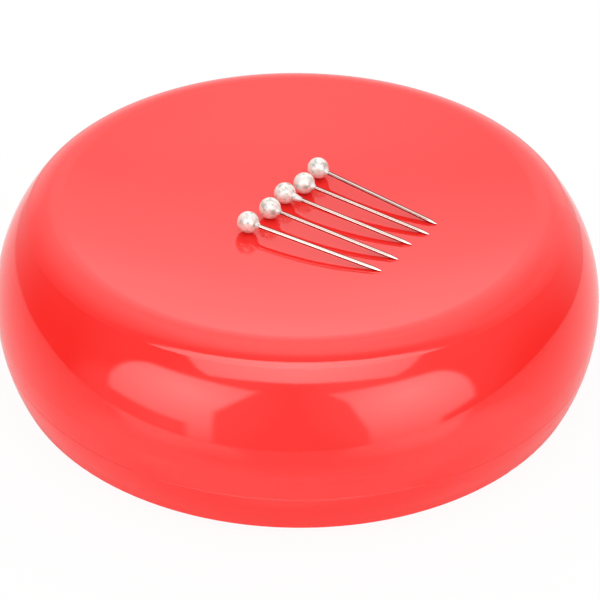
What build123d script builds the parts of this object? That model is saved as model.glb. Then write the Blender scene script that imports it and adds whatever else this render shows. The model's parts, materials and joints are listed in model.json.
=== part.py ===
from build123d import *
import math
import os

# Magnetic pin bowl: a round, puffy plastic bowl with a shallow dish on top, a ring magnet hidden
# under the dish, and five pearl-headed pins that the magnet holds. Millimetres, +Z up.
# The origin is the middle of the bowl on the surface that it stands on.

# Outline of the bowl, seen from the side.
bowl_radius = 54.0
crest_height = 33.5
crest_inset = 10.8
crest_round = 6.0
shoulder_angle = 39.0
lower_round = 31.0
base_corner = 1.5
dish_round = 160.0
foot_stand = 0.6
seam_height = 9.0

# Shells.
wall = 2.0
floor_wall = 2.0
groove_width = 0.1
groove_depth = 0.05
lip_height = 3.0
lip_root = 2.4
lip_wall = 1.2
lip_gap = 0.15

# Ring magnet and what holds it.
magnet_radius = 30.0
magnet_bore = 12.0
magnet_height = 8.0
magnet_edge = 0.5
foam_height = 1.0
foam_margin = 1.0
keeper_height = 1.5
keeper_margin = 0.6
nest_gap = 0.3
nest_wall = 1.6
nest_hold = 6.0
rib_wall = 1.5
rib_least = 1.2
rib_count = 8
hub_radius = 4.4
hub_gap = 0.3

# Keeper screw and washer.
keeper_screw_radius = 1.75
keeper_screw_length = 8.5
keeper_head_radius = 3.6
keeper_head_height = 2.4
washer_radius = 5.0
washer_height = 0.8
hole_gap = 0.25
thread_gap = 0.05

# Case screws, with the bosses above them and the posts round them.
case_screw_inset = 10.5
case_screw_count = 4
case_screw_first_angle = 45
case_screw_radius = 1.5
case_screw_length = 11.0
case_head_radius = 2.8
case_head_height = 2.0
case_head_sink = 2.6
boss_radius = 3.6
post_wall = 1.4
post_gap = 0.1
pilot_spare = 1.0
gusset_wall = 1.6

# What both kinds of screw share.
recess_width = 0.8
recess_span = 3.2
recess_depth = 1.2
screw_point = 1.6
screw_tip_radius = 0.5
head_edge_share = 0.5

# Rubber feet.
foot_names = ("right", "back", "left", "front")
foot_inset = 13.0
foot_radius = 5.0
foot_height = 1.5
foot_edge = 0.3
foot_gap = 0.2

# Pins.
head_radius = 1.95
shaft_radius = 0.35
pin_reach = 27.0
point_length = 2.2
point_radius = 0.04
shaft_root = 0.9
glue_gap = 0.02
head_clearance = 0.08
point_clearance = 0.1
collar_root_radius = 0.62
collar_radius = 0.44
collar_length = 0.5
long_collar_length = 1.75

# Each pin: where its head lies, as shares of the crest's radius, and where it points, in degrees.
pin_place_shares = [
    (-0.204, -0.062, -31.1),
    (-0.117, 0.052, -34.2),
    (-0.057, 0.166, -34.7),
    (0.022, 0.240, -35.6),
    (0.080, 0.346, -39.4),
]
long_collar_pin = 3

# One overrun for every cut that passes a face.
overrun = 1.0

# Worked out from the sizes above. The rim's round, the shoulder and the lower side are arcs that
# run into each other, and the dish is a sphere that runs into the rim's round.
crest_radius = bowl_radius - crest_inset
crest_centre_z = crest_height - crest_round
shoulder_turn = math.radians(shoulder_angle)
shoulder_round = (crest_inset - crest_round * math.cos(shoulder_turn)) / (1 - math.cos(shoulder_turn))
equator_z = crest_centre_z - (shoulder_round - crest_round) * math.sin(shoulder_turn)
dish_turn = math.asin(crest_radius / (dish_round + crest_round))
dish_centre_z = crest_centre_z + (dish_round + crest_round) * math.cos(dish_turn)
dish_under_z = dish_centre_z - dish_round - wall

# Heights of the stack under the dish, from the top down.
rib_seat_z = dish_under_z - rib_least
magnet_top_z = rib_seat_z - foam_height
keeper_top_z = magnet_top_z - magnet_height
keeper_under_z = keeper_top_z - keeper_height
washer_under_z = keeper_under_z - washer_height
floor_top_z = foot_stand + floor_wall
case_head_top_z = foot_stand + case_head_sink + case_head_height
post_top_z = seam_height - post_gap
keeper_pilot_top_z = washer_under_z + keeper_screw_length + pilot_spare
case_pilot_top_z = case_head_top_z + case_screw_length + pilot_spare


def arc(centre, radius, start, end):
    """The arc about a centre from one angle to another, in degrees."""
    return CenterArc(centre, radius, start, end - start)


def side_radius(height, inset):
    """The radius of the bowl's side at a height, a given inset inside its outer face."""
    if height < equator_z:
        round_here = lower_round
    else:
        round_here = shoulder_round
    reach = round_here - inset
    return bowl_radius - round_here + math.sqrt(reach**2 - (height - equator_z) ** 2)


def bowl_form(inset, bottom_z, corner):
    """The solid inside the bowl's outline, a given inset inside its outer face."""
    lower_centre = (bowl_radius - lower_round, equator_z)
    lower_reach = lower_round - inset
    drop = equator_z - bottom_z - corner
    corner_x = lower_centre[0] + math.sqrt((lower_reach - corner) ** 2 - drop**2)
    lower_turn = math.degrees(math.asin(drop / (lower_reach - corner)))
    dish_turn_degrees = math.degrees(dish_turn)
    shoulder_centre = (bowl_radius - shoulder_round, equator_z)
    edges = [
        arc(lower_centre, lower_reach, -lower_turn, 0),
        arc(shoulder_centre, shoulder_round - inset, 0, shoulder_angle),
        arc((crest_radius, crest_centre_z), crest_round - inset, shoulder_angle, 90 + dish_turn_degrees),
        arc((0, dish_centre_z), dish_round + inset, dish_turn_degrees - 90, -90),
        Line((0, dish_centre_z - dish_round - inset), (0, bottom_z)),
        Line((0, bottom_z), (corner_x, bottom_z)),
    ]
    if corner > 0:
        edges.append(arc((corner_x, bottom_z + corner), corner, -90, -lower_turn))
    return revolve(Plane.XZ * make_face(edges), Axis.Z)


def disc(radius, low_z, high_z, x=0, y=0):
    """An upright cylinder between two heights."""
    return Pos(x, y, low_z) * Cylinder(radius, high_z - low_z, align=(Align.CENTER, Align.CENTER, Align.MIN))


def ring(outer, inner, low_z, high_z):
    """An upright ring between two heights."""
    return disc(outer, low_z, high_z) - disc(inner, low_z - overrun, high_z + overrun)


def places(count, radius, first_angle):
    """Evenly spaced places on a circle, as x, y and the angle from the middle."""
    found = []
    for index in range(count):
        angle = first_angle + 360 * index / count
        turn = math.radians(angle)
        found.append((radius * math.cos(turn), radius * math.sin(turn), angle))
    return found


def seam_groove():
    """The fine V that marks the parting line, half in each shell."""
    edge = side_radius(seam_height, 0)
    half = groove_width / 2
    corners = [
        (edge - groove_depth, seam_height),
        (edge + overrun, seam_height + half * (groove_depth + overrun) / groove_depth),
        (edge + overrun, seam_height - half * (groove_depth + overrun) / groove_depth),
    ]
    return revolve(Plane.XZ * make_face(Polyline(*corners, close=True)), Axis.Z)


def cross_recess(top_z):
    """The cross that a screwdriver turns, cut down from a screw head's top."""
    depth = recess_depth + overrun
    bar = Box(recess_span, recess_width, depth, align=(Align.CENTER, Align.CENTER, Align.MIN))
    other = Box(recess_width, recess_span, depth, align=(Align.CENTER, Align.CENTER, Align.MIN))
    return Pos(0, 0, top_z - recess_depth) * (bar + other)


def screw(radius, length, pan_radius, pan_height):
    """A pan-head screw for plastic, its head below and its point up, seated at zero."""
    edge = pan_height * head_edge_share
    outline = [
        (0, -pan_height),
        (pan_radius - edge, -pan_height),
        (pan_radius, -edge),
        (pan_radius, 0),
        (radius, 0),
        (radius, length - screw_point),
        (screw_tip_radius, length),
        (0, length),
    ]
    body = revolve(Plane.XZ * make_face(Polyline(*outline, close=True)), Axis.Z)
    recess = Rot(180, 0, 0) * cross_recess(pan_height)
    return body - recess


case_screw_places = places(case_screw_count, bowl_radius - case_screw_inset, case_screw_first_angle)
foot_places = places(len(foot_names), bowl_radius - foot_inset, 0)


def make_top_shell():
    """Dish, rim and side down to the seam, with ribs, nest, hub and bosses inside."""
    form = bowl_form(0, foot_stand, base_corner)
    cavity = bowl_form(wall, floor_top_z, 0)
    above_seam = disc(bowl_radius + overrun, seam_height, crest_height + overrun)
    shell = form - cavity
    inside = bowl_form(wall / 2, floor_top_z, 0)

    nest_radius = magnet_radius + nest_gap
    nest_low_z = magnet_top_z - nest_hold
    extras = ring(nest_radius + nest_wall, nest_radius, nest_low_z, crest_height)
    rib_reach = nest_radius + nest_wall / 2
    rib_tall = crest_height - rib_seat_z
    for x, y, angle in places(rib_count, rib_reach / 2, 0):
        rib = Box(rib_reach, rib_wall, rib_tall, align=(Align.CENTER, Align.CENTER, Align.MIN))
        extras += Pos(x, y, rib_seat_z) * Rot(0, 0, angle) * rib
    hub_low_z = keeper_top_z + hub_gap
    extras += disc(hub_radius, hub_low_z, crest_height)

    gusset_low_z = seam_height + lip_height + lip_wall
    gusset_tall = crest_height - gusset_low_z
    for x, y, angle in case_screw_places:
        extras += disc(boss_radius, seam_height, crest_height, x, y)
        gusset = Box(case_screw_inset, gusset_wall, gusset_tall, align=(Align.MIN, Align.CENTER, Align.MIN))
        extras += Pos(x, y, gusset_low_z) * Rot(0, 0, angle) * gusset

    shell = (shell + (extras & inside)) & above_seam
    shell -= seam_groove()
    shell -= disc(keeper_screw_radius + thread_gap, hub_low_z - overrun, keeper_pilot_top_z)
    for x, y, angle in case_screw_places:
        shell -= disc(case_screw_radius + thread_gap, seam_height - overrun, case_pilot_top_z, x, y)
    return shell


def make_base_cover():
    """The band under the seam, the bottom, the lip inside the shell, posts and recesses."""
    form = bowl_form(0, foot_stand, base_corner)
    cavity = bowl_form(wall, floor_top_z, 0)
    below_seam = disc(bowl_radius + overrun, 0, seam_height)
    cover = (form - cavity) & below_seam

    lip_outer = bowl_form(wall + lip_gap, floor_top_z, 0)
    lip_inner = bowl_form(wall + lip_gap + lip_wall, floor_top_z, 0)
    lip_band = disc(bowl_radius, seam_height - lip_root, seam_height + lip_height)
    root_outer = bowl_form(wall / 2, floor_top_z, 0)
    root_band = disc(bowl_radius, seam_height - lip_root, seam_height)
    cover += (lip_outer - lip_inner) & lip_band
    cover += (root_outer - lip_inner) & root_band

    post_radius = case_head_radius + hole_gap + post_wall
    for x, y, angle in case_screw_places:
        cover += disc(post_radius, foot_stand, post_top_z, x, y)
    cover -= seam_groove()
    for x, y, angle in case_screw_places:
        cover -= disc(case_head_radius + hole_gap, foot_stand - overrun, case_head_top_z, x, y)
        cover -= disc(case_screw_radius + hole_gap, foot_stand, seam_height + overrun, x, y)
    for x, y, angle in foot_places:
        cover -= disc(foot_radius + foot_gap, foot_stand - overrun, foot_height, x, y)
    return cover


def make_ring_magnet():
    """Ferrite ring with small chamfers all round."""
    magnet = ring(magnet_radius, magnet_bore, keeper_top_z, magnet_top_z)
    return chamfer(magnet.edges(), magnet_edge)


def make_foam_ring():
    """Thin foam between the ribs and the magnet."""
    return ring(magnet_radius - foam_margin, magnet_bore + foam_margin, magnet_top_z, rib_seat_z)


def make_keeper_plate():
    """Steel disc under the magnet, with a hole for its screw."""
    hole = keeper_screw_radius + hole_gap
    return ring(magnet_radius - keeper_margin, hole, keeper_under_z, keeper_top_z)


def make_keeper_washer():
    """Washer under the keeper screw's head."""
    return ring(washer_radius, keeper_screw_radius + hole_gap, washer_under_z, keeper_under_z)


def make_keeper_screw():
    """Screw up through washer, plate, magnet and foam into the hub."""
    return Pos(0, 0, washer_under_z) * screw(
        keeper_screw_radius, keeper_screw_length, keeper_head_radius, keeper_head_height
    )


def make_case_screws():
    """Four like screws, up through the base cover's posts into the shell's bosses."""
    one = screw(case_screw_radius, case_screw_length, case_head_radius, case_head_height)
    return Compound(children=[Pos(x, y, case_head_top_z) * one for x, y, angle in case_screw_places])


def make_foot(x, y):
    """A round rubber foot in its recess."""
    pad = disc(foot_radius, 0, foot_height, x, y)
    return chamfer(pad.edges().group_by(Axis.Z)[0], foot_edge)


def pin_location(x_share, y_share, heading):
    """Where a pin lies: its head on the dish and its point on the dish, with +X along the shaft."""
    x = x_share * crest_radius
    y = y_share * crest_radius
    head_reach = dish_round - head_radius - head_clearance
    z = dish_centre_z - math.sqrt(head_reach**2 - x**2 - y**2)
    turn = math.radians(heading)
    along = x * math.cos(turn) + y * math.sin(turn)
    up = z - dish_centre_z
    point_reach = dish_round - point_radius - point_clearance
    needed = (point_reach**2 - head_reach**2 - pin_reach**2) / (2 * pin_reach)
    pitch = math.atan2(up, along) + math.acos(needed / math.hypot(along, up))
    return Pos(x, y, z) * Rot(0, 0, heading) * Rot(0, -math.degrees(pitch), 0)


def make_pin_shaft():
    """A pin's steel shaft along +X, from inside the head to its point, which is ground to an arc."""
    shoulder_x = pin_reach - point_length
    drop = shaft_radius - point_radius
    grind_round = (point_length**2 + drop**2) / (2 * drop)
    grind_turn = math.degrees(math.asin(point_length / grind_round))
    edges = [
        Line((-shaft_root, 0), (-shaft_root, shaft_radius)),
        Line((-shaft_root, shaft_radius), (shoulder_x, shaft_radius)),
        arc((shoulder_x, shaft_radius - grind_round), grind_round, 90, 90 - grind_turn),
        Line((pin_reach, point_radius), (pin_reach, 0)),
        Line((pin_reach, 0), (-shaft_root, 0)),
    ]
    return revolve(make_face(edges), Axis.X)


def make_pin_head(collar):
    """A pearl head whose collar tapers along the shaft, bored for the shaft."""
    neck_x = head_radius + collar
    turn = math.asin(collar_root_radius / head_radius)
    root_x = head_radius * math.cos(turn)
    edges = [
        arc((0, 0), head_radius, 180, math.degrees(turn)),
        Line((root_x, collar_root_radius), (neck_x, collar_radius)),
        Line((neck_x, collar_radius), (neck_x, 0)),
        Line((neck_x, 0), (-head_radius, 0)),
    ]
    head = revolve(make_face(edges), Axis.X)
    bore_length = shaft_root + neck_x + overrun
    bore = Cylinder(shaft_radius + glue_gap, bore_length, align=(Align.CENTER, Align.CENTER, Align.MIN))
    return head - Pos(-shaft_root, 0, 0) * Rot(0, 90, 0) * bore


def write(shape, name):
    """Write one piece to its own file."""
    shape.label = name
    export_step(shape, os.path.join("parts", name + ".step"))


os.makedirs("parts", exist_ok=True)
write(make_top_shell(), "top_shell")
write(make_base_cover(), "base_cover")
write(make_ring_magnet(), "ring_magnet")
write(make_foam_ring(), "foam_ring")
write(make_keeper_plate(), "keeper_plate")
write(make_keeper_washer(), "keeper_washer")
write(make_keeper_screw(), "keeper_screw")
write(make_case_screws(), "case_screws")
for foot_name, (foot_x, foot_y, foot_angle) in zip(foot_names, foot_places):
    write(make_foot(foot_x, foot_y), "foot_" + foot_name)
for number, place in enumerate(pin_place_shares, 1):
    location = pin_location(*place)
    collar_here = long_collar_length if number == long_collar_pin else collar_length
    write(location * make_pin_shaft(), f"pin_shaft_{number}")
    write(location * make_pin_head(collar_here), f"pin_head_{number}")
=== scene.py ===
# %% [markdown]
# # A magnetic pin bowl
# The object is a round, glossy red bowl that keeps dressmaker's pins. Its CAD model is already
# packed and fixes every size. This lesson gives it the looks of the real thing in four steps:
# materials, pins, camera, and the light that the gloss mirrors.
# We load that model first, because every piece made here sits where the model says.
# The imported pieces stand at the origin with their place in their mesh, and stay as they are.

# %% Load the frame
import json
from math import asin, cos, hypot, pi, radians, sin

import bmesh
import bpy
from mathutils import Matrix, Vector


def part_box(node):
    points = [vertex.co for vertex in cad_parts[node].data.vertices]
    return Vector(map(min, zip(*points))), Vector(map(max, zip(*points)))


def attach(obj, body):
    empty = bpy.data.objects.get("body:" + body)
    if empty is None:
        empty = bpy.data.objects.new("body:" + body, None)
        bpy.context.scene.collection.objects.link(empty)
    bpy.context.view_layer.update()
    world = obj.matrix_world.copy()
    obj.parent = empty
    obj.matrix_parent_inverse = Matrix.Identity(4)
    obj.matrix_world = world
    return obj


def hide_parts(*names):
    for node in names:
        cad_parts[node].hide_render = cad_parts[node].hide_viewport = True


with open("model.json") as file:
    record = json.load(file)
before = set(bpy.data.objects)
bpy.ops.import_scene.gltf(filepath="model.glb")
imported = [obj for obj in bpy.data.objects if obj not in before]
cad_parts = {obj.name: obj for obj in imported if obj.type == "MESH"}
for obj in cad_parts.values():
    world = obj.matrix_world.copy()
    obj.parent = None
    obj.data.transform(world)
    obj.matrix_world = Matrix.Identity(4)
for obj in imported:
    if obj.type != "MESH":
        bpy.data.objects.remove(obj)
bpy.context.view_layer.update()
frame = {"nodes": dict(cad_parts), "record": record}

mm = 0.001

# %% [markdown]
# ## Small helpers
# A mesh is built in a bmesh and then turned into an object that stays at the origin.
# Smooth shading hides the facets of round surfaces, while an edge that is sharper than a given
# angle stays crisp. Every new piece rides on one body of the model, and may stand in for its nodes.

# %% Turning a bmesh into a piece
crisp_angle = radians(40)


def make_object(name, bm, material):
    """A finished bmesh as an object at the origin, smooth but for its crisp edges."""
    mesh = bpy.data.meshes.new(name)
    bm.to_mesh(mesh)
    bm.free()
    mesh.shade_smooth()
    mesh.set_sharp_from_angle(angle=crisp_angle)
    mesh.materials.append(material)
    made = bpy.data.objects.new(name, mesh)
    bpy.context.scene.collection.objects.link(made)
    return made


def make_piece(name, bm, material, body, slot, *nodes):
    """A piece of the object that rides on a body and stands for CAD nodes."""
    piece = make_object(name, bm, material)
    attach(piece, body)
    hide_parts(*nodes)
    print(name, "has", len(piece.data.polygons), "faces")
    return piece


# %% [markdown]
# A lathe-turned or moulded round piece is easiest to make from half of its section. A single
# point is carried along arcs and straight steps, which leaves a chain of edges behind it, and
# the chain is then spun round the axis. The doubles on the axis are merged, so the poles close,
# and the normals are worked out afterwards, because a spin can turn a shape inside out.

# %% Drawing a section and spinning it
merge_distance = 0.0005 * mm


def carry(bm, point, centre, turned, steps):
    """Carry a point round a centre in the XZ plane, clockwise for a positive angle."""
    bm.verts.ensure_lookup_table()
    found = bmesh.ops.spin(
        bm, geom=[point], cent=(centre[0], 0, centre[1]), axis=(0, 1, 0), angle=turned, steps=steps
    )
    return next(e for e in found["geom_last"] if isinstance(e, bmesh.types.BMVert))


def step_to(bm, point, x, z):
    """Draw a straight edge from a point to a place in the XZ plane."""
    found = bmesh.ops.extrude_vert_indiv(bm, verts=[point])
    found["verts"][0].co = (x, 0, z)
    return found["verts"][0]


def spin_round(bm, axis, segments):
    """Spin a whole section once round an axis through the origin and close it."""
    section = bm.verts[:] + bm.edges[:]
    bmesh.ops.spin(
        bm, geom=section, cent=(0, 0, 0), axis=axis, angle=2 * pi, steps=segments, use_merge=True
    )
    bmesh.ops.remove_doubles(bm, verts=bm.verts[:], dist=merge_distance)
    bmesh.ops.recalc_face_normals(bm, faces=bm.faces[:])


# %% [markdown]
# ## Helpers for materials
# Colours are written as they look on a screen, as sRGB hex values, and one function turns them
# into the linear values that the renderer works in. Another adds a node: a name that belongs to
# one of its sockets sets that socket, any other name sets the node itself, and the links say
# which outputs feed which inputs.

# %% Colours and nodes
def linear(hex_colour):
    """An sRGB hex colour as linear red, green, blue and alpha."""
    parts = [int(hex_colour[i : i + 2], 16) / 255 for i in (1, 3, 5)]
    return tuple(c / 12.92 if c <= 0.04045 else ((c + 0.055) / 1.055) ** 2.4 for c in parts) + (1,)


def add(tree, kind, settings=(), links=()):
    """Add a node with its settings and links."""
    node = tree.nodes.new(kind)
    for key, value in dict(settings).items():
        if isinstance(key, int) or key in node.inputs:
            node.inputs[key].default_value = value
        else:
            setattr(node, key, value)
    for key, source in dict(links).items():
        tree.links.new(source, node.inputs[key])
    return node


def new_material(name):
    """An empty material and its node tree."""
    material = bpy.data.materials.new(name)
    material.use_nodes = True
    material.node_tree.nodes.clear()
    return material, material.node_tree


def finish_material(tree, shader):
    """Lead a shader to the material's output."""
    add(tree, "ShaderNodeOutputMaterial", links={"Surface": shader.outputs[0]})


def ramp(tree, source, stops):
    """A colour ramp over a 0 to 1 value, from places and hex colours."""
    node = add(tree, "ShaderNodeValToRGB", links={0: source})
    edges = node.color_ramp.elements
    while len(edges) < len(stops):
        edges.new(1)
    for edge, (place, colour) in zip(edges, stops):
        edge.position = place
        edge.color = linear(colour)
    return node


# %% [markdown]
# ## Red ABS
# The bowl is ABS, injection moulded in a polished mould, so it is a deep, even red under a clear
# gloss. ABS has an IOR of about 1.5. What tells moulded plastic from a perfect ball is faint:
# the skin ripples very slightly over a centimetre or two where it shrank, so reflected edges
# waver, and the polish is a touch less even in places.

# %% Red ABS
def moulded_red_abs():
    """Gloss ABS from a polished mould: a red that fills, with a clear sharp reflection."""
    material, tree = new_material("moulded_red_abs")
    place = add(tree, "ShaderNodeTexCoord")
    ripple_length = 16 * mm
    ripple = add(
        tree,
        "ShaderNodeTexNoise",
        {"Scale": 1 / ripple_length, "Detail": 1.0, "Roughness": 0.4},
        {"Vector": place.outputs["Object"]},
    )
    speck_length = 1.2 * mm
    specks = add(
        tree,
        "ShaderNodeTexNoise",
        {"Scale": 1 / speck_length, "Detail": 2.0, "Roughness": 0.6},
        {"Vector": place.outputs["Object"]},
    )
    ripple_height = add(
        tree,
        "ShaderNodeBump",
        {"Strength": 1.0, "Distance": 0.02 * mm},
        {"Height": ripple.outputs[0]},
    )
    polish = add(
        tree,
        "ShaderNodeMapRange",
        {"From Min": 0.3, "From Max": 0.7, "To Min": 0.05, "To Max": 0.08},
        {"Value": specks.outputs[0]},
    )
    colour = ramp(tree, ripple.outputs[0], [(0.3, "#FE2C28"), (0.7, "#FC2A26")])
    shader = add(
        tree,
        "ShaderNodeBsdfPrincipled",
        {"IOR": 1.5},
        {
            "Base Color": colour.outputs[0],
            "Roughness": polish.outputs[0],
            "Normal": ripple_height.outputs[0],
        },
    )
    finish_material(tree, shader)
    return material


red_abs = moulded_red_abs()
print("made", red_abs.name)

# %% [markdown]
# ## Pearl heads
# Each head is a small plastic bead, dipped in pearl essence and lacquered. Pearl essence is a
# suspension of tiny bright flakes: it mirrors part of what is around it in a soft, blurred way,
# so the bead is milky white with greyer and pinker patches, and the lacquer adds a sharp glint.
# A little metallic share gives the blurred mirror, some scattering under the surface the milk,
# and a coat the lacquer. At a glance the bead shows a thin, pinker rim, a painted reflection of the
# red bowl.

# %% Pearl lacquer
def pearl_lacquer():
    """Pearl essence under clear lacquer: milky, patchy and glinting, with a pink rim of painted
    reflection.
    """
    material, tree = new_material("pearl_lacquer")
    place = add(tree, "ShaderNodeTexCoord")
    patch_length = 1.1 * mm
    patches = add(
        tree,
        "ShaderNodeTexNoise",
        {"Scale": 1 / patch_length, "Detail": 3.0, "Roughness": 0.6, "Distortion": 0.6},
        {"Vector": place.outputs["Object"]},
    )
    colour = ramp(
        tree,
        patches.outputs[0],
        [(0.36, "#BCC0B6"), (0.47, "#ECEAE3"), (0.56, "#FAF4EF"), (0.68, "#FBE4DE")],
    )
    # The pinker rim mixed in at a glance is a painted reflection of the red bowl.
    glance = add(tree, "ShaderNodeLayerWeight", {"Blend": 0.5})
    painted_rim_share = add(
        tree,
        "ShaderNodeMapRange",
        {"interpolation_type": "SMOOTHSTEP", "From Min": 0.7, "From Max": 1.0},
        {"Value": glance.outputs["Facing"]},
    )
    tone = add(
        tree,
        "ShaderNodeMix",
        {"data_type": "RGBA", "blend_type": "MIX"},
        {"Factor": painted_rim_share.outputs[0], 6: colour.outputs[0]},
    )
    tone.inputs[7].default_value = linear("#F0CFC4")
    uneven = add(
        tree,
        "ShaderNodeBump",
        {"Strength": 0.5, "Distance": 0.03 * mm},
        {"Height": patches.outputs[0]},
    )
    shader = add(
        tree,
        "ShaderNodeBsdfPrincipled",
        {
            "Metallic": 0.12,
            "Roughness": 0.3,
            "Subsurface Weight": 0.7,
            "Subsurface Radius": (1.0, 0.85, 0.75),
            "Subsurface Scale": 0.7 * mm,
            "Coat Weight": 0.5,
            "Coat Roughness": 0.06,
            "Coat IOR": 1.5,
        },
        {"Base Color": tone.outputs[2], "Normal": uneven.outputs[0]},
    )
    finish_material(tree, shader)
    return material


pearl = pearl_lacquer()
print("made", pearl.name)

# %% [markdown]
# ## Nickel-plated steel
# The pins are hardened steel wire, drawn and nickel plated, with a point that is ground on a
# stone. Drawing leaves fine lines along the wire and grinding leaves rings round the point. Each
# shaft stores its own lengthwise place in an attribute, so the lines follow the wire whichever
# way the pin lies. The wire's flanks are painted dark brown, a painted reflection of the shaded
# red right beside it, which draws a fine outline round it.

# %% Nickel-plated steel wire
shaft_place = "shaft_place"


def nickel_steel_wire():
    """Drawn, nickel-plated steel: a warm silver with fine lines along it, and flanks of painted
    dark reflection.
    """
    material, tree = new_material("nickel_steel_wire")
    place = add(tree, "ShaderNodeAttribute", {"attribute_name": shaft_place})
    line_width = 0.05 * mm
    line_length = 6 * mm
    along = add(
        tree,
        "ShaderNodeMapping",
        {"Scale": (1 / line_length, 1 / line_width, 1 / line_width)},
        {"Vector": place.outputs["Vector"]},
    )
    lines = add(
        tree, "ShaderNodeTexNoise", {"Scale": 1.0, "Detail": 2.0}, {"Vector": along.outputs[0]}
    )
    polish = add(
        tree,
        "ShaderNodeMapRange",
        {"From Min": 0.3, "From Max": 0.7, "To Min": 0.08, "To Max": 0.16},
        {"Value": lines.outputs[0]},
    )
    colour = ramp(tree, lines.outputs[0], [(0.3, "#F0D4CA"), (0.7, "#FFEAE2")])
    scored = add(
        tree,
        "ShaderNodeBump",
        {"Strength": 0.3, "Distance": 0.004 * mm},
        {"Height": lines.outputs[0]},
    )
    metal = add(
        tree,
        "ShaderNodeBsdfPrincipled",
        {"Metallic": 1.0},
        {
            "Base Color": colour.outputs[0],
            "Roughness": polish.outputs[0],
            "Normal": scored.outputs[0],
        },
    )
    # The dark brown flanks mixed in at a glance are a painted reflection of the shaded red beside
    # the wire.
    painted_flank_tone = ramp(tree, lines.outputs[0], [(0.3, "#3F1513"), (0.7, "#562522")])
    painted_flank = add(tree, "ShaderNodeBsdfDiffuse", links={"Color": painted_flank_tone.outputs[0]})
    glance = add(tree, "ShaderNodeLayerWeight", {"Blend": 0.5})
    painted_rim_share = add(
        tree,
        "ShaderNodeMapRange",
        {"interpolation_type": "SMOOTHSTEP", "From Min": 0.12, "From Max": 0.5},
        {"Value": glance.outputs["Facing"]},
    )
    shader = add(
        tree,
        "ShaderNodeMixShader",
        links={0: painted_rim_share.outputs[0], 1: metal.outputs[0], 2: painted_flank.outputs[0]},
    )
    finish_material(tree, shader)
    return material


nickel_steel = nickel_steel_wire()
print("made", nickel_steel.name)

# %% [markdown]
# ## What is inside and underneath
# Sintered ferrite is a dark, grainy ceramic; zinc plate is a bluish silver with a cloudy crystal
# pattern; cross-head screws are bright zinc; the foam is closed-cell and pitted; the feet are
# black thermoplastic rubber with the fine matt of a spark-eroded mould.
# All five share one recipe: a pattern at the real grain size drives colour, roughness and bump.

# %% Grained materials
def grained(name, grain, colours, roughness, relief, metallic=0.0, kind="ShaderNodeTexNoise"):
    """A material whose grain, at its real size, drives its colour, polish and relief."""
    material, tree = new_material(name)
    place = add(tree, "ShaderNodeTexCoord")
    pattern = add(tree, kind, {"Scale": 1 / grain}, {"Vector": place.outputs["Object"]})
    colour = ramp(tree, pattern.outputs[0], [(0.3, colours[0]), (0.7, colours[1])])
    polish = add(
        tree,
        "ShaderNodeMapRange",
        {"From Min": 0.3, "From Max": 0.7, "To Min": roughness[0], "To Max": roughness[1]},
        {"Value": pattern.outputs[0]},
    )
    bump = add(
        tree,
        "ShaderNodeBump",
        {"Strength": 0.6, "Distance": relief},
        {"Height": pattern.outputs[0]},
    )
    shader = add(
        tree,
        "ShaderNodeBsdfPrincipled",
        {"Metallic": metallic},
        {
            "Base Color": colour.outputs[0],
            "Roughness": polish.outputs[0],
            "Normal": bump.outputs[0],
        },
    )
    finish_material(tree, shader)
    return material


sintered_ferrite = grained(
    "sintered_ferrite",
    grain=0.25 * mm,
    colours=("#2E2F31", "#46474A"),
    roughness=(0.45, 0.65),
    relief=0.02 * mm,
)
zinc_plate = grained(
    "zinc_plate",
    grain=2.5 * mm,
    colours=("#AEB4BC", "#CDD2D8"),
    roughness=(0.25, 0.42),
    relief=0.005 * mm,
    metallic=1.0,
    kind="ShaderNodeTexVoronoi",
)
bright_zinc = grained(
    "bright_zinc",
    grain=0.5 * mm,
    colours=("#B4B8BE", "#D9DCE0"),
    roughness=(0.18, 0.34),
    relief=0.005 * mm,
    metallic=1.0,
)
closed_cell_foam = grained(
    "closed_cell_foam",
    grain=0.4 * mm,
    colours=("#1B1B1D", "#39393C"),
    roughness=(0.8, 0.95),
    relief=0.08 * mm,
    kind="ShaderNodeTexVoronoi",
)
foot_rubber = grained(
    "foot_rubber",
    grain=0.12 * mm,
    colours=("#1C1C1D", "#2A2A2B"),
    roughness=(0.6, 0.8),
    relief=0.01 * mm,
)

# %% [markdown]
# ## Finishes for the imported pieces
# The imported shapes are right: the two red shells are smooth turned bodies already, and so are
# the magnet, its keeper and the feet. They only need their finish, which goes into each piece's
# material slot. The record says which slot each piece belongs to.

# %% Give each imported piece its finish
finishes = {
    "red_shell": red_abs,
    "pearl": pearl,
    "pin_steel": nickel_steel,
    "ferrite": sintered_ferrite,
    "zinc_steel": zinc_plate,
    "screw_steel": bright_zinc,
    "foam": closed_cell_foam,
    "foot_rubber": foot_rubber,
}
for part in frame["record"]["subparts"]:
    node = frame["nodes"][part["node"]]
    node.data.materials.clear()
    node.data.materials.append(finishes[part["material_slot"]])
print("finished", len(frame["nodes"]), "CAD nodes")

# %% [markdown]
# ## The pins
# The pins are made anew, because their wire needs a pattern that follows it and their collars
# a soft root. A pin is round about its own axis: the shaft is a thin rod whose last two
# millimetres are ground to a point, and the head a bead with a small collar that is drawn out
# along the wire where the plastic was dipped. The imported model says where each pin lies: the
# middles of its shaft's two ends give its axis.

# %% Where each pin lies
head_radius = 1.95 * mm
shaft_radius = 0.35 * mm
shaft_root = 0.9 * mm
point_length = 2.2 * mm
point_radius = 0.04 * mm
collar_root_radius = 0.72 * mm
collar_radius = 0.4 * mm
collar_length = 0.5 * mm
long_collar_length = 1.75 * mm
long_collar_pin = 3
glue_gap = 0.02 * mm
pin_numbers = range(1, 6)
tip_reach = 3 * point_radius
root_reach = 2.5 * shaft_radius


def middle_near(points, target, reach):
    """The middle of the points that lie within reach of a target point."""
    near = [p for p in points if (p - target).length < reach]
    low = Vector([min(p[i] for p in near) for i in range(3)])
    high = Vector([max(p[i] for p in near) for i in range(3)])
    return (low + high) / 2


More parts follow.
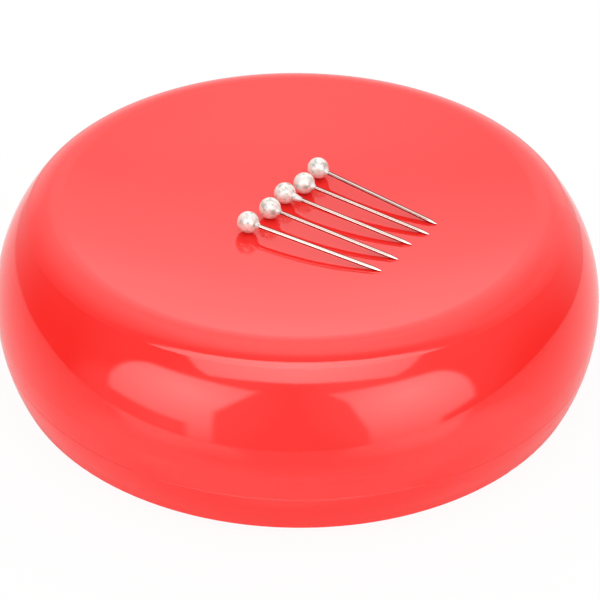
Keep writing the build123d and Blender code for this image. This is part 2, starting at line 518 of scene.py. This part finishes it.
def pin_axis(number):
    """A pin's tip, and the place and turn that carry the X axis onto its shaft, from the frame."""
    low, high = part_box(f"pin_head_{number}")
    head = (low + high) / 2
    points = [v.co.copy() for v in frame["nodes"][f"pin_shaft_{number}"].data.vertices]
    tip = max(points, key=lambda p: (p - head).length)
    tip = middle_near(points, tip, tip_reach)
    root = max(points, key=lambda p: (p - tip).length)
    root = middle_near(points, root, root_reach)
    along = (tip - root).normalized()
    across = Vector((0, 0, 1)).cross(along).normalized()
    up = along.cross(across)
    turn = Matrix((along, across, up)).transposed().to_4x4()
    head_centre = root + along * shaft_root
    return (tip - head_centre).length, Matrix.Translation(head_centre) @ turn


# %% Shafts
pin_segments = 32
grind_steps = 8
shaft_ring_shares = (0.05, 0.3, 0.6, 0.9, 1.0)


def pin_shaft(reach, place):
    """A shaft along X with a ground point, then carried to its place."""
    bm = bmesh.new()
    point = bm.verts.new((-shaft_root, 0, 0))
    point = step_to(bm, point, -shaft_root, shaft_radius)
    shoulder = reach - point_length
    for share in shaft_ring_shares:
        point = step_to(bm, point, shoulder * share, shaft_radius)
    drop = shaft_radius - point_radius
    grind_round = (point_length**2 + drop**2) / (2 * drop)
    grind_centre = (shoulder, shaft_radius - grind_round)
    point = carry(bm, point, grind_centre, asin(point_length / grind_round), grind_steps)
    step_to(bm, point, reach, 0)
    spin_round(bm, (1, 0, 0), pin_segments)
    layer = bm.verts.layers.float_vector.new(shaft_place)
    for vert in bm.verts:
        vert[layer] = vert.co
    bmesh.ops.transform(bm, matrix=place, verts=bm.verts[:])
    return bm


# %% Heads
head_steps = 24
collar_fillet = 0.2 * mm
fillet_segments = 4


def round_ring(bm, x, radius, width):
    """Round the ring of edges that lies at a place along the X axis, at a radius."""
    ring = set()
    for vert in bm.verts:
        off_ring = max(abs(vert.co.x - x), abs(hypot(vert.co.y, vert.co.z) - radius))
        if off_ring < merge_distance:
            ring.add(vert)
    edges = [edge for edge in bm.edges if set(edge.verts) <= ring]
    bmesh.ops.bevel(
        bm,
        geom=edges,
        offset=width,
        segments=fillet_segments,
        profile=0.5,
        affect="EDGES",
        material=-1,
    )


def pin_head(collar, place):
    """A pearl head with its collar, hollow where the shaft is glued in."""
    bm = bmesh.new()
    neck = head_radius + collar
    root_turn = asin(collar_root_radius / head_radius)
    bore = shaft_radius + glue_gap
    point = bm.verts.new((-head_radius, 0, 0))
    point = carry(bm, point, (0, 0), pi - root_turn, head_steps)
    point = step_to(bm, point, neck, collar_radius)
    point = step_to(bm, point, neck, bore)
    point = step_to(bm, point, -shaft_root, bore)
    step_to(bm, point, -shaft_root, 0)
    spin_round(bm, (1, 0, 0), 2 * head_steps)
    round_ring(bm, head_radius * cos(root_turn), collar_root_radius, collar_fillet)
    bmesh.ops.transform(bm, matrix=place, verts=bm.verts[:])
    return bm


for number in pin_numbers:
    reach, place = pin_axis(number)
    collar = long_collar_length if number == long_collar_pin else collar_length
    body = f"pin_{number}"
    shaft, head = f"pin_shaft_{number}", f"pin_head_{number}"
    make_piece(f"needle_{number}", pin_shaft(reach, place), nickel_steel, body, "pin_steel", shaft)
    make_piece(f"pearl_{number}", pin_head(collar, place), pearl, body, "pearl", head)
    print("pin", number, "reaches", round(reach / mm, 2), "mm from its head's middle")

# %% [markdown]
# ## The camera
# A long lens from a little under half a metre looks down at about 35 degrees, as in the
# photograph. The distance and the lens together give the slight widening of the near rim. The
# camera is turned by a fraction of a degree, because the photograph isn't quite level.

# %% The camera
camera_target = Vector((0.449, 0, 11.75)) * mm
camera_elevation = radians(34.58)
camera_distance = 440 * mm
camera_roll = radians(0.645)
camera_lens = 146.1
camera_sensor = 36

up = Vector((0, sin(camera_elevation), cos(camera_elevation)))
right = Vector((1, 0, 0))
back = Vector((0, -cos(camera_elevation), sin(camera_elevation)))
camera_x = right * cos(camera_roll) + up * sin(camera_roll)
camera_y = up * cos(camera_roll) - right * sin(camera_roll)
camera = bpy.data.objects.new("camera", bpy.data.cameras.new("camera"))
camera.data.lens = camera_lens
camera.data.sensor_width = camera_sensor
turn = Matrix((camera_x, camera_y, back)).transposed().to_4x4()
camera.matrix_world = Matrix.Translation(camera_target + back * camera_distance) @ turn
bpy.context.scene.collection.objects.link(camera)
bpy.context.scene.camera = camera
print("camera at", [round(v / mm, 1) for v in camera.matrix_world.translation], "mm")

# %% [markdown]
# ## The light
# Product photographers put a glossy bowl in an even white light, which leaves its colour flat
# and true, and then choose what the gloss mirrors. The world does both: diffuse rays find an
# even white of about 1, at which a colour renders as it is written, the camera finds a pure
# white background, and glossy rays find a room that is bright above and behind the bowl and
# dim at its sides and in front.

# %% The world
diffuse_level = 1.06
high_point_height = radians(70)
high_point_side = radians(16)
ceiling_base = 0.04
ceiling_rise = 1.74
ceiling_power = 1.65
ceiling_glow = 0.27
ceiling_glow_span = (0.85, 0.97)
back_wall_level = 0.67
back_wall_depth = (0.2, 1.0)
back_wall_rise = (-0.1, 0.65)
front_wall_level = 0.5
front_wall_depth = (-0.9, -0.45)
front_dimming = 0.58
front_dimming_depth = (-0.24, 0.04)

world = bpy.data.worlds.new("white_studio")
bpy.context.scene.world = world
world.use_nodes = True
world.cycles.sampling_method = "NONE"
tree = world.node_tree
tree.nodes.clear()
rays = add(tree, "ShaderNodeLightPath")
direction = add(tree, "ShaderNodeTexCoord").outputs["Generated"]
parts = add(tree, "ShaderNodeSeparateXYZ", links={0: direction})


def smooth_share(source, low, high, at_low, at_high):
    """A value that changes smoothly from one level to another between two places."""
    return add(
        tree,
        "ShaderNodeMapRange",
        {
            "interpolation_type": "SMOOTHSTEP",
            "From Min": low,
            "From Max": high,
            "To Min": at_low,
            "To Max": at_high,
        },
        {"Value": source},
    ).outputs[0]


def combine(operation, first, second):
    """Add or multiply two values."""
    return add(tree, "ShaderNodeMath", {"operation": operation}, {0: first, 1: second}).outputs[0]


def compass(azimuth, elevation):
    """A direction from its compass angle, which runs from +Y towards +X, and its height."""
    return (sin(azimuth) * cos(elevation), cos(azimuth) * cos(elevation), sin(elevation))


def nearness(centre):
    """How near the looked-in direction is to another: the cosine of the angle between them."""
    near = add(
        tree, "ShaderNodeVectorMath", {"operation": "DOT_PRODUCT", 1: centre}, {0: direction}
    )
    return near.outputs["Value"]


def halo(azimuth, elevation, inner, outer, level):
    """A soft round glow about a direction: full within the inner angle, gone at the outer one."""
    near = nearness(compass(radians(azimuth), radians(elevation)))
    return smooth_share(near, cos(radians(outer)), cos(radians(inner)), 0, level)


# %% The ceiling, brightest a little behind the bowl
toward = nearness(compass(high_point_side, high_point_height))
above = add(tree, "ShaderNodeMath", {"operation": "MAXIMUM", 1: 0.0}, {0: toward})
curved = add(
    tree, "ShaderNodeMath", {"operation": "POWER", 1: ceiling_power}, {0: above.outputs[0]}
)
risen = add(
    tree,
    "ShaderNodeMath",
    {"operation": "MULTIPLY_ADD", 1: ceiling_rise, 2: ceiling_base},
    {0: curved.outputs[0]},
)
ceiling_level = combine(
    "ADD", risen.outputs[0], smooth_share(toward, *ceiling_glow_span, 0, ceiling_glow)
)
dimming = smooth_share(parts.outputs["Y"], *front_dimming_depth, front_dimming, 1)
dimmed = combine("MULTIPLY", ceiling_level, dimming)

# %% The back wall and the wall behind the camera
back_share = combine(
    "MULTIPLY",
    smooth_share(parts.outputs["Y"], *back_wall_depth, 0, back_wall_level),
    smooth_share(parts.outputs["Z"], *back_wall_rise, 1, 0),
)
front_share = smooth_share(parts.outputs["Y"], *front_wall_depth, front_wall_level, 0)
mirrored = combine("ADD", dimmed, combine("ADD", back_share, front_share))

# %% Soft glows on the walls, each with its direction, its two angles in degrees and its level
wall_glows = [
    halo(135, 15, 20, 48, 0.42),  # about the right window
    halo(-135, 15, 20, 46, 0.28),  # about the left window
    halo(18, 8, 6, 20, 0.25),  # low behind the bowl, on the right
    halo(-18, 8, 6, 21, 0.28),  # and on the left
    halo(1, 27, 4, 17, 0.18),  # higher behind it
    halo(44, 50, 6, 24, -0.3),  # a shade on the ceiling, behind right
    halo(-118, -14, 14, 27, 0.36),  # the table beyond the board, on the left
]
for glow in wall_glows:
    mirrored = combine("ADD", mirrored, glow)
print("the walls have", len(wall_glows), "soft glows")

# %% One world for each kind of ray
even = add(tree, "ShaderNodeBackground", {"Strength": diffuse_level})
shown = add(tree, "ShaderNodeBackground", {"Strength": 1.0})
glossy = add(tree, "ShaderNodeBackground", links={"Strength": mirrored})
for node in (even, shown, glossy):
    node.inputs["Color"].default_value = (1, 1, 1, 1)
for_glossy = add(
    tree,
    "ShaderNodeMixShader",
    links={0: rays.outputs["Is Glossy Ray"], 1: even.outputs[0], 2: glossy.outputs[0]},
)
for_camera = add(
    tree,
    "ShaderNodeMixShader",
    links={0: rays.outputs["Is Camera Ray"], 1: for_glossy.outputs[0], 2: shown.outputs[0]},
)
add(tree, "ShaderNodeOutputWorld", links={"Surface": for_camera.outputs[0]})
print("world ready")

# %% [markdown]
# ## What the gloss mirrors
# Three bright shapes stand out in the bowl: a wide overhead softbox makes the band under the
# rim, and two tall windows in front, left and right, make the big patches on the side. Each is
# a flat card that only glossy rays can see, so it adds no light to the colour. Diffused light
# has no hard edge, so each card is inset by a narrow border, and an attribute that is 0 on the
# outline and 1 inside it lets the glow fade out across that border. The outlines are given in
# shares of a card's distance, so a card that is moved keeps its place in the reflection.

# %% A card of soft light
inside_share = "inside_share"


def glow_card(name, corners, border, hot_place, hot_level, fade, upright=1):
    """A card seen by glossy rays alone: brightest at one place, and fading by a level per metre."""
    material, tree = new_material(name)
    place = add(tree, "ShaderNodeTexCoord")
    offset = add(
        tree,
        "ShaderNodeVectorMath",
        {"operation": "SUBTRACT", 1: hot_place},
        {0: place.outputs["Object"]},
    )
    stretched = add(
        tree,
        "ShaderNodeVectorMath",
        {"operation": "MULTIPLY", 1: (1, 1, upright)},
        {0: offset.outputs[0]},
    )
    away = add(tree, "ShaderNodeVectorMath", {"operation": "LENGTH"}, {0: stretched.outputs[0]})
    level = add(
        tree,
        "ShaderNodeMath",
        {"operation": "MULTIPLY_ADD", 1: -fade, 2: hot_level},
        {0: away.outputs["Value"]},
    )
    edge = add(tree, "ShaderNodeAttribute", {"attribute_name": inside_share})
    inside = add(
        tree,
        "ShaderNodeMapRange",
        {"interpolation_type": "SMOOTHSTEP"},
        {"Value": edge.outputs["Fac"]},
    )
    clear = add(tree, "ShaderNodeBsdfTransparent")
    glow = add(tree, "ShaderNodeEmission", links={"Strength": level.outputs[0]})
    shader = add(
        tree,
        "ShaderNodeMixShader",
        links={0: inside.outputs[0], 1: clear.outputs[0], 2: glow.outputs[0]},
    )
    finish_material(tree, shader)
    bm = bmesh.new()
    bm.faces.new([bm.verts.new(corner) for corner in corners])
    bm.normal_update()
    bmesh.ops.inset_region(
        bm, faces=bm.faces[:], thickness=border, use_even_offset=True, use_boundary=True
    )
    layer = bm.verts.layers.float.new(inside_share)
    for vert in bm.verts:
        vert[layer] = 0 if vert.is_boundary else 1
    card = make_object(name, bm, material)
    card.visible_camera = False
    card.visible_diffuse = False
    card.visible_transmission = False
    card.visible_volume_scatter = False
    card.visible_shadow = False
    return card


# %% The softbox over the front
softbox_height = 3.0
softbox_shares = [(-1.17, -0.46), (1.4, -0.49), (1.2, -1.53), (0, -1.66), (-1.06, -1.54)]
softbox_border_share = 0.08
softbox_hot_shares = (0, -0.75)
softbox_level = 5.3
softbox_fade_share = 2.0


def overhead(x_share, y_share):
    """A place on the softbox, from its shares of the softbox's height."""
    return Vector((x_share, y_share, 1)) * softbox_height


glow_card(
    "softbox",
    [overhead(x, y) for x, y in softbox_shares],
    softbox_border_share * softbox_height,
    overhead(*softbox_hot_shares),
    softbox_level,
    softbox_fade_share / softbox_height,
)

# %% The two windows
window_distance = 3.0
window_side = 135
window_border_share = 0.06
window_upright = 1.5
window_fade_share = 3.6
oval_steps = 8


def oval_corner(middle, reaches, first_turn, last_turn):
    """Places along a quarter of an oval, which rounds the upper inner corner of a window."""
    places = []
    for step in range(oval_steps + 1):
        turn = radians(first_turn + (last_turn - first_turn) * step / oval_steps)
        places.append((middle[0] + reaches[0] * cos(turn), middle[1] + reaches[1] * sin(turn)))
    return places


left_window_shares = [
    (-0.66, 0.57),
    *oval_corner((0.13, 0.03), (0.33, 0.44), 90, 0),
    (0.44, -0.09),
    (-0.1, -0.135),
    (-0.1, -0.33),
    (-0.33, -0.33),
    (-0.33, 0.1),
]
right_window_shares = [
    (0.73, 0.57),
    *oval_corner((-0.05, 0), (0.32, 0.455), 90, 180),
    (-0.37, -0.09),
    (-0.13, -0.16),
    (-0.13, -0.33),
    (0.39, -0.33),
    (0.4, -0.1),
    (0.53, 0.33),
]


def window(name, facing, shares, hot_shares, hot_level):
    """A window card that stands square to a compass direction, measured from +Y towards +X."""
    turn = radians(facing)
    ahead = Vector((sin(turn), cos(turn), 0))
    across = Vector((cos(turn), -sin(turn), 0))
    rise = Vector((0, 0, 1))

    def place(u, v):
        return (ahead + across * u + rise * v) * window_distance

    corners = [place(u, v) for u, v in shares]
    border = window_border_share * window_distance
    fade = window_fade_share / window_distance
    return glow_card(name, corners, border, place(*hot_shares), hot_level, fade, window_upright)


window("left_window", -window_side, left_window_shares, (-0.1, 0.28), 4.6)
window("right_window", window_side, right_window_shares, (0.08, 0.27), 4.5)
print("softbox and two windows ready")

# %% [markdown]
# ## The ground
# Two sheets lie under the bowl. The camera sees only the wide paper sweep. It has to be pure
# white with a faint shadow under the bowl, so most of it is its own light, and the rest is real
# shading that keeps the shadow. The gloss sees only the white melamine board that the bowl
# stands on: it is a little duller than paper, has a satin sheen that mirrors the windows, a
# painted pool of light below each of them where it glows of its own, and ends not far away.
# Its uneven outline is what the bowl's lower side shows. The paper lies a hair lower, or it would
# shade the board.

# %% The paper sweep
sweep_radius = 2.0
sweep_segments = 96
sweep_drop = 0.05 * mm
shadow_share = 0.07
paper_grain = 0.8 * mm


def white_paper():
    """Matt white paper that the camera sees as pure white, but for the bowl's faint shadow."""
    material, tree = new_material("white_paper")
    rays = add(tree, "ShaderNodeLightPath")
    place = add(tree, "ShaderNodeTexCoord")
    fibres = add(
        tree, "ShaderNodeTexNoise", {"Scale": 1 / paper_grain}, {"Vector": place.outputs["Object"]}
    )
    tone = ramp(tree, fibres.outputs[0], [(0.3, "#FBFBFB"), (0.7, "#FFFFFF")])
    shaded = add(tree, "ShaderNodeBsdfDiffuse", links={"Color": tone.outputs[0]})
    glow = add(tree, "ShaderNodeEmission", {"Strength": 1.0})
    seen = add(
        tree,
        "ShaderNodeMixShader",
        {0: shadow_share},
        {1: glow.outputs[0], 2: shaded.outputs[0]},
    )
    both = add(
        tree,
        "ShaderNodeMixShader",
        links={0: rays.outputs["Is Camera Ray"], 1: glow.outputs[0], 2: seen.outputs[0]},
    )
    finish_material(tree, both)
    material.cycles.emission_sampling = "NONE"
    return material


bm = bmesh.new()
bmesh.ops.create_circle(bm, cap_ends=True, radius=sweep_radius, segments=sweep_segments)
bmesh.ops.translate(bm, vec=(0, 0, -sweep_drop), verts=bm.verts[:])
sweep = make_object("paper_sweep", bm, white_paper())
sweep.visible_glossy = False

# %% The board
board_left = 200 * mm
board_right = 245 * mm
board_front = 116 * mm
board_back = 88 * mm
board_segments = 96
# How square the board is in each quarter: 2 is an ellipse, less is flatter and more is squarer
front_left_squareness = 1.4
front_right_squareness = 2.1
back_right_squareness = 1.6
back_left_squareness = 4.0
board_grain = 0.8 * mm
# For each painted pool of light, where the board glows of its own: its middle, the radii at which
# it is full and gone, and its level
painted_light_pools = [
    ((68, -71), (12, 46), 0.46),
    ((-54, -64), (8, 32), 0.3),
]


def board_place(turn):
    """A place on the board's outline, which has its own reach and squareness in each quarter."""
    across, along = cos(turn), sin(turn)
    if across > 0:
        reach = board_right
        squareness = back_right_squareness if along > 0 else front_right_squareness
    else:
        reach = -board_left
        squareness = back_left_squareness if along > 0 else front_left_squareness
    depth = board_back if along > 0 else -board_front
    power = 2 / squareness
    return (reach * abs(across) ** power, depth * abs(along) ** power, 0)


def white_melamine():
    """White melamine: a satin white board, with a painted pool of light, its own glow, below each
    window.
    """
    material, tree = new_material("white_melamine")
    place = add(tree, "ShaderNodeTexCoord")
    grain = add(
        tree, "ShaderNodeTexNoise", {"Scale": 1 / board_grain}, {"Vector": place.outputs["Object"]}
    )
    tone = ramp(tree, grain.outputs[0], [(0.3, "#E8E8E7"), (0.7, "#ECECEB")])
    # Each pool is painted light: the board glows there of its own.
    pools = []
    for (x, y), (full, gone), level in painted_light_pools:
        away = add(
            tree,
            "ShaderNodeVectorMath",
            {"operation": "DISTANCE", 1: (x * mm, y * mm, 0)},
            {0: place.outputs["Object"]},
        )
        pool = add(
            tree,
            "ShaderNodeMapRange",
            {
                "interpolation_type": "SMOOTHSTEP",
                "From Min": full * mm,
                "From Max": gone * mm,
                "To Min": level,
                "To Max": 0.0,
            },
            {"Value": away.outputs["Value"]},
        )
        pools.append(pool.outputs[0])
    pooled = add(tree, "ShaderNodeMath", {"operation": "ADD"}, {0: pools[0], 1: pools[1]})
    board = add(
        tree,
        "ShaderNodeBsdfPrincipled",
        {"Roughness": 0.15, "IOR": 1.75, "Emission Color": (1, 1, 1, 1)},
        {"Base Color": tone.outputs[0], "Emission Strength": pooled.outputs[0]},
    )
    finish_material(tree, board)
    return material


bm = bmesh.new()
turns = [2 * pi * step / board_segments for step in range(board_segments)]
bm.faces.new([bm.verts.new(board_place(turn)) for turn in turns])
board = make_object("melamine_board", bm, white_melamine())
board.visible_camera = False
board.visible_diffuse = False
board.visible_transmission = False
board.visible_shadow = False
print("paper sweep and board ready")

# %% Finish with the plain view transform
bpy.context.scene.view_settings.view_transform = "Standard"
